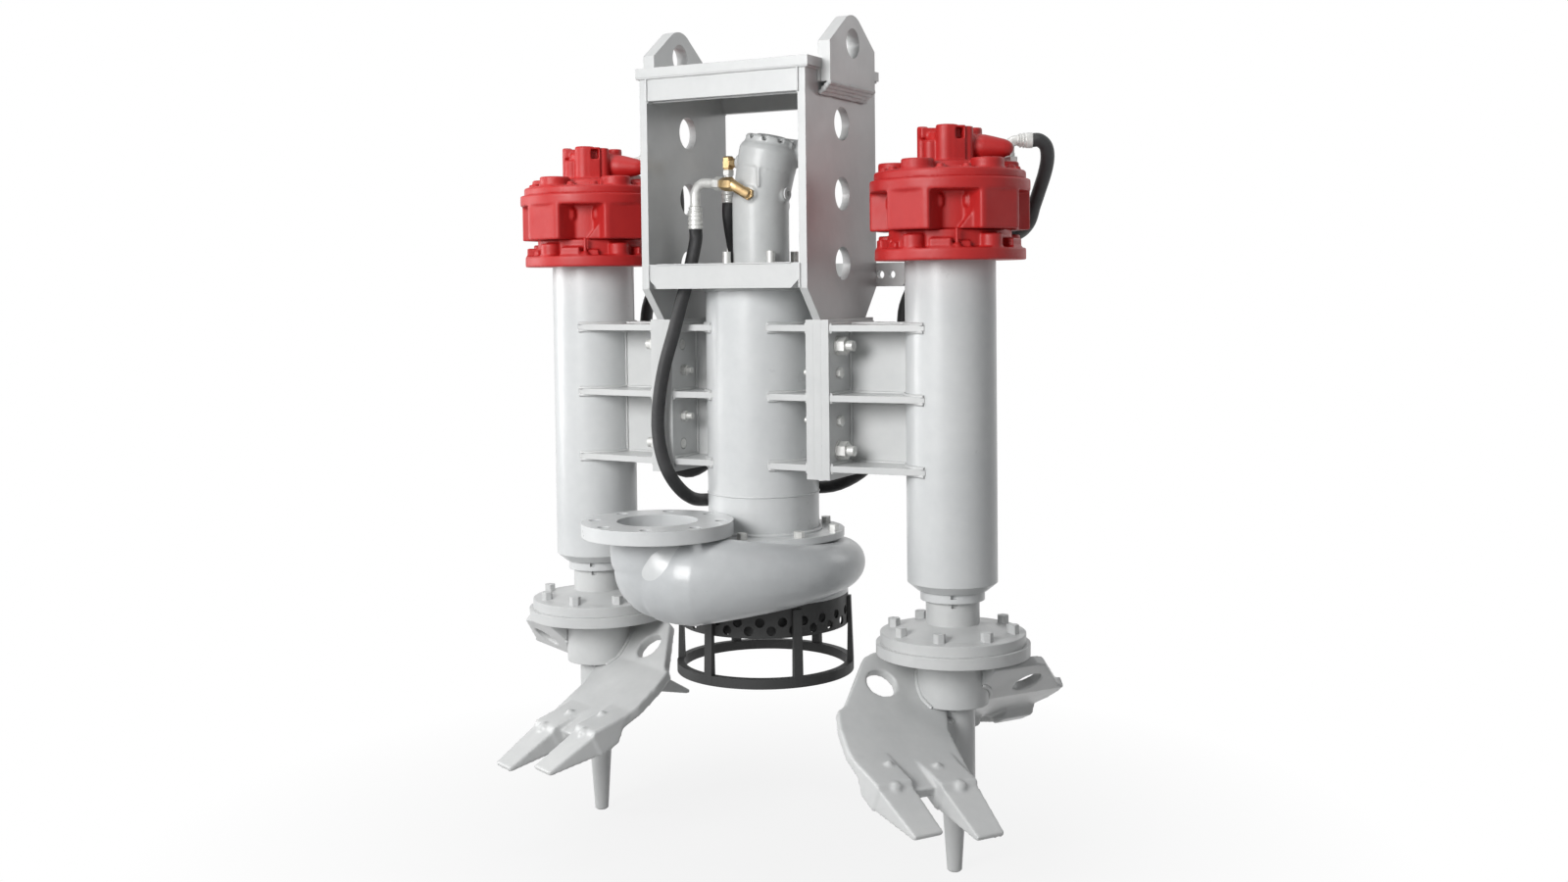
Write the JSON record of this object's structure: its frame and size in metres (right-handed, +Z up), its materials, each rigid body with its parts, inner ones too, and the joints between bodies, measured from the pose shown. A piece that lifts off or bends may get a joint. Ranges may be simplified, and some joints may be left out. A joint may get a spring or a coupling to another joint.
{
  "type": "excavator dredge pump",
  "caption": "Hydraulic dredge pump in a hanging frame, with a bladed cutter on an arm at each side, a strainer below and a flanged upward discharge.",
  "frame": {"origin": "centre of the hanger pin bore, midway between the two lifting lugs", "axes": "+X along the hanger pin and the arms to the right, +Y to the rear, +Z up along the pump shaft"},
  "size_m": [1.2283, 0.7553, 1.609],
  "materials": {
    "frame_paint": "gloss light grey paint",
    "pump_paint": "gloss light grey paint on castings",
    "cutter_paint": "gloss light grey paint on cutters",
    "motor_grey": "satin grey paint",
    "motor_red": "gloss red paint",
    "strainer_black": "satin black paint",
    "hose_rubber": "black rubber",
    "brass_fitting": "satin brass",
    "zinc_steel": "bright zinc",
    "shaft_steel": "ground steel",
    "bearing_steel": "turned steel",
    "impeller_iron": "cast"
  },
  "bodies": {
    "hanger": {"hanger_side_plate_left": "frame_paint", "hanger_side_plate_right": "frame_paint", "hanger_top_plate": "frame_paint", "hanger_header_front": "frame_paint", "hanger_header_rear": "frame_paint", "hanger_floor_plate": "frame_paint", "floor_rail_front": "frame_paint", "floor_rail_rear": "frame_paint", "lifting_lug_left": "frame_paint", "lifting_lug_right": "frame_paint", "arm_inner_left": "frame_paint", "arm_inner_right": "frame_paint", "arm_outer_left": "frame_paint", "arm_outer_right": "frame_paint", "arm_bolts_left": "zinc_steel", "arm_bolts_right": "zinc_steel", "arm_nuts_left": "zinc_steel", "arm_nuts_right": "zinc_steel", "pump_column": "pump_paint", "column_bearing_upper": "bearing_steel", "column_bearing_lower": "bearing_steel", "seal_housing": "pump_paint", "shaft_seal": "bearing_steel", "casing_bolts": "zinc_steel", "volute_casing": "pump_paint", "discharge_elbow": "pump_paint", "suction_plate": "pump_paint", "strainer_skirt": "strainer_black", "strainer_cage": "strainer_black", "pump_motor_foot": "motor_grey", "pump_motor_case": "motor_grey", "pump_motor_barrel": "motor_grey", "pump_motor_port_plate": "motor_grey", "pump_motor_studs": "zinc_steel", "hose_adaptors": "brass_fitting", "hose_elbows": "zinc_steel", "hose_left": "hose_rubber", "hose_right": "hose_rubber", "side_tube_left": "pump_paint", "side_tube_right": "pump_paint", "tube_bearings_left": "bearing_steel", "tube_bearings_right": "bearing_steel", "gland_ring_left": "pump_paint", "gland_ring_right": "pump_paint", "side_motor_flange_left": "motor_red", "side_motor_flange_right": "motor_red", "side_motor_star_left": "motor_red", "side_motor_star_right": "motor_red", "side_motor_cap_left": "motor_red", "side_motor_cap_right": "motor_red"},
    "pump_rotor": {"pump_shaft": "shaft_steel", "impeller": "impeller_iron"},
    "cutter_left": {"cutter_shaft_left": "shaft_steel", "cutter_cover_left": "cutter_paint", "cutter_hub_left": "cutter_paint", "cutter_blades_left": "cutter_paint"},
    "cutter_right": {"cutter_shaft_right": "shaft_steel", "cutter_cover_right": "cutter_paint", "cutter_hub_right": "cutter_paint", "cutter_blades_right": "cutter_paint"}
  },
  "joints": [
    {"name": "pump_spin", "type": "hinge", "parent": "hanger", "child": "pump_rotor", "pos_m": [0, 0, -0.95], "axis": [0, 0, 1], "continuous": true},
    {"name": "cutter_left_spin", "type": "hinge", "parent": "hanger", "child": "cutter_left", "pos_m": [-0.4, 0, -1.1], "axis": [0, 0, 1], "continuous": true},
    {"name": "cutter_right_spin", "type": "hinge", "parent": "hanger", "child": "cutter_right", "pos_m": [0.4, 0, -1.1], "axis": [0, 0, 1], "continuous": true}
  ]
}
